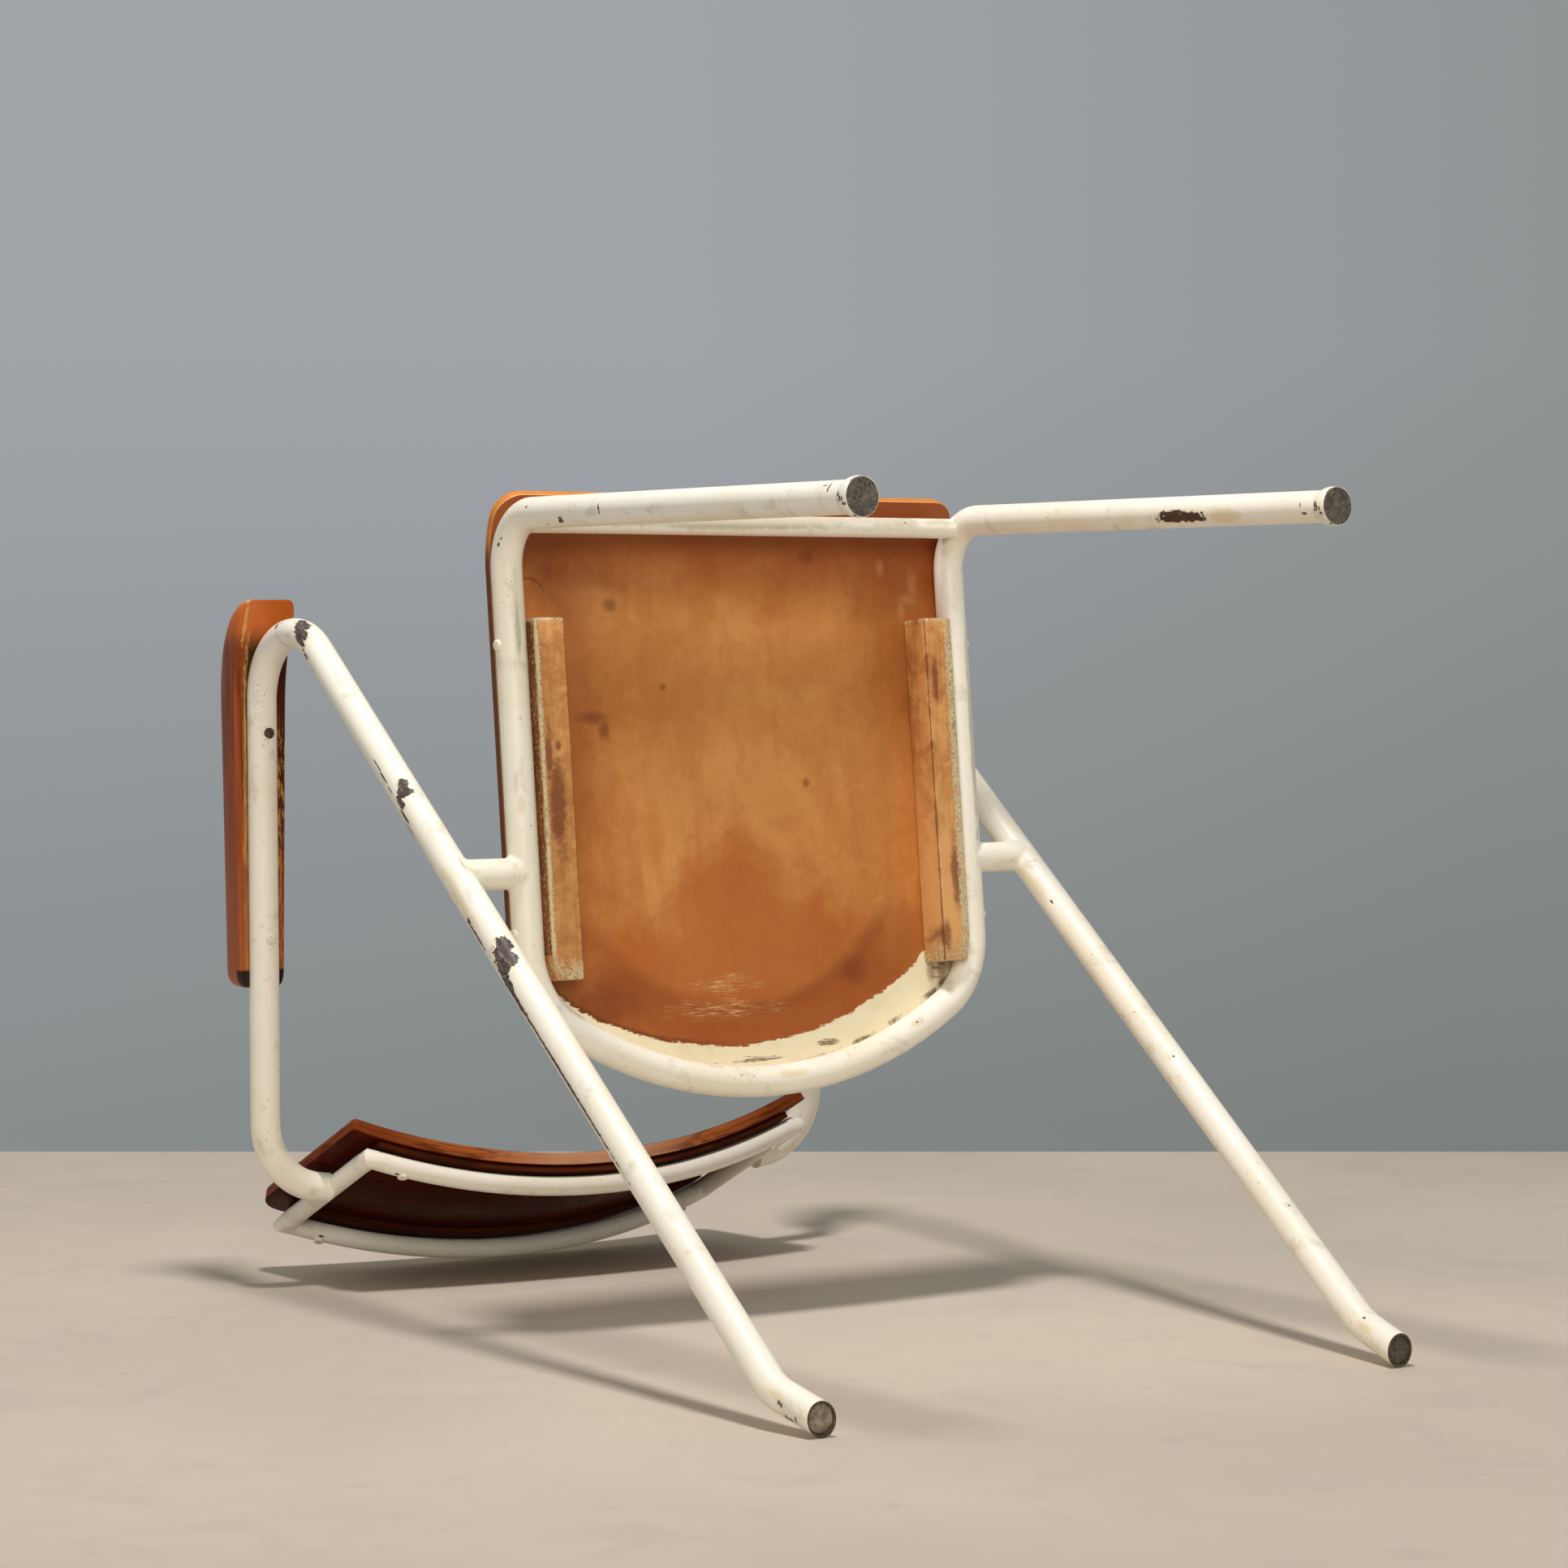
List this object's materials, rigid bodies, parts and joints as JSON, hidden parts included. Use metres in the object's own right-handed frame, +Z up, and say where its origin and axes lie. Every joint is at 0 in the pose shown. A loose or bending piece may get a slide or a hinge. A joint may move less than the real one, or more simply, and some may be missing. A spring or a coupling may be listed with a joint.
{
  "type": "armchair",
  "caption": "Tubular steel armchair in cream enamel with a bent plywood seat, a curved plywood back and wooden armrests.",
  "frame": {"origin": "on the floor under the middle of the chair's bounding box", "axes": "+Z up; +Y from the front of the seat to the back, so the chair faces -Y; +X to the right as seen from the front"},
  "size_m": [0.538, 0.6066, 0.7657],
  "materials": {
    "cream_enamel": "worn cream enamel on steel tube, chipped to bare grey-brown steel",
    "seat_plywood": "lacquered orange-brown plywood, stained underneath",
    "batten_wood": "lacquered hardwood strip with paint smears",
    "back_plywood": "dark red-brown lacquered plywood, glossy",
    "armrest_wood": "deep red-brown lacquered hardwood, glossy",
    "foot_rubber": "aged dark rubber, dusty",
    "screw_steel": "dull aged steel"
  },
  "bodies": {
    "root": {"seat_leg_tube": "cream_enamel", "front_cross_rail": "cream_enamel", "arm_leg_tube_left": "cream_enamel", "arm_leg_tube_right": "cream_enamel", "stub_left": "cream_enamel", "stub_right": "cream_enamel", "back_rail_lower": "cream_enamel", "back_rail_upper": "cream_enamel", "back_end_bar_left": "cream_enamel", "back_end_bar_right": "cream_enamel", "seat_panel": "seat_plywood", "seat_batten_left": "batten_wood", "seat_batten_right": "batten_wood", "back_panel": "back_plywood", "back_batten_lower": "back_plywood", "back_batten_upper": "back_plywood", "armrest_left": "armrest_wood", "armrest_right": "armrest_wood", "front_foot_cap_left": "foot_rubber", "front_foot_cap_right": "foot_rubber", "rear_foot_plug_left": "foot_rubber", "rear_foot_plug_right": "foot_rubber", "seat_screw_front_left": "screw_steel", "armrest_screw_front_left": "screw_steel", "seat_screw_front_right": "screw_steel", "armrest_screw_front_right": "screw_steel", "seat_screw_rear_left": "screw_steel", "armrest_screw_rear_left": "screw_steel", "seat_screw_rear_right": "screw_steel", "armrest_screw_rear_right": "screw_steel", "back_screw_lower_left": "screw_steel", "back_screw_lower_right": "screw_steel", "back_screw_upper_left": "screw_steel", "back_screw_upper_right": "screw_steel"}
  },
  "joints": []
}
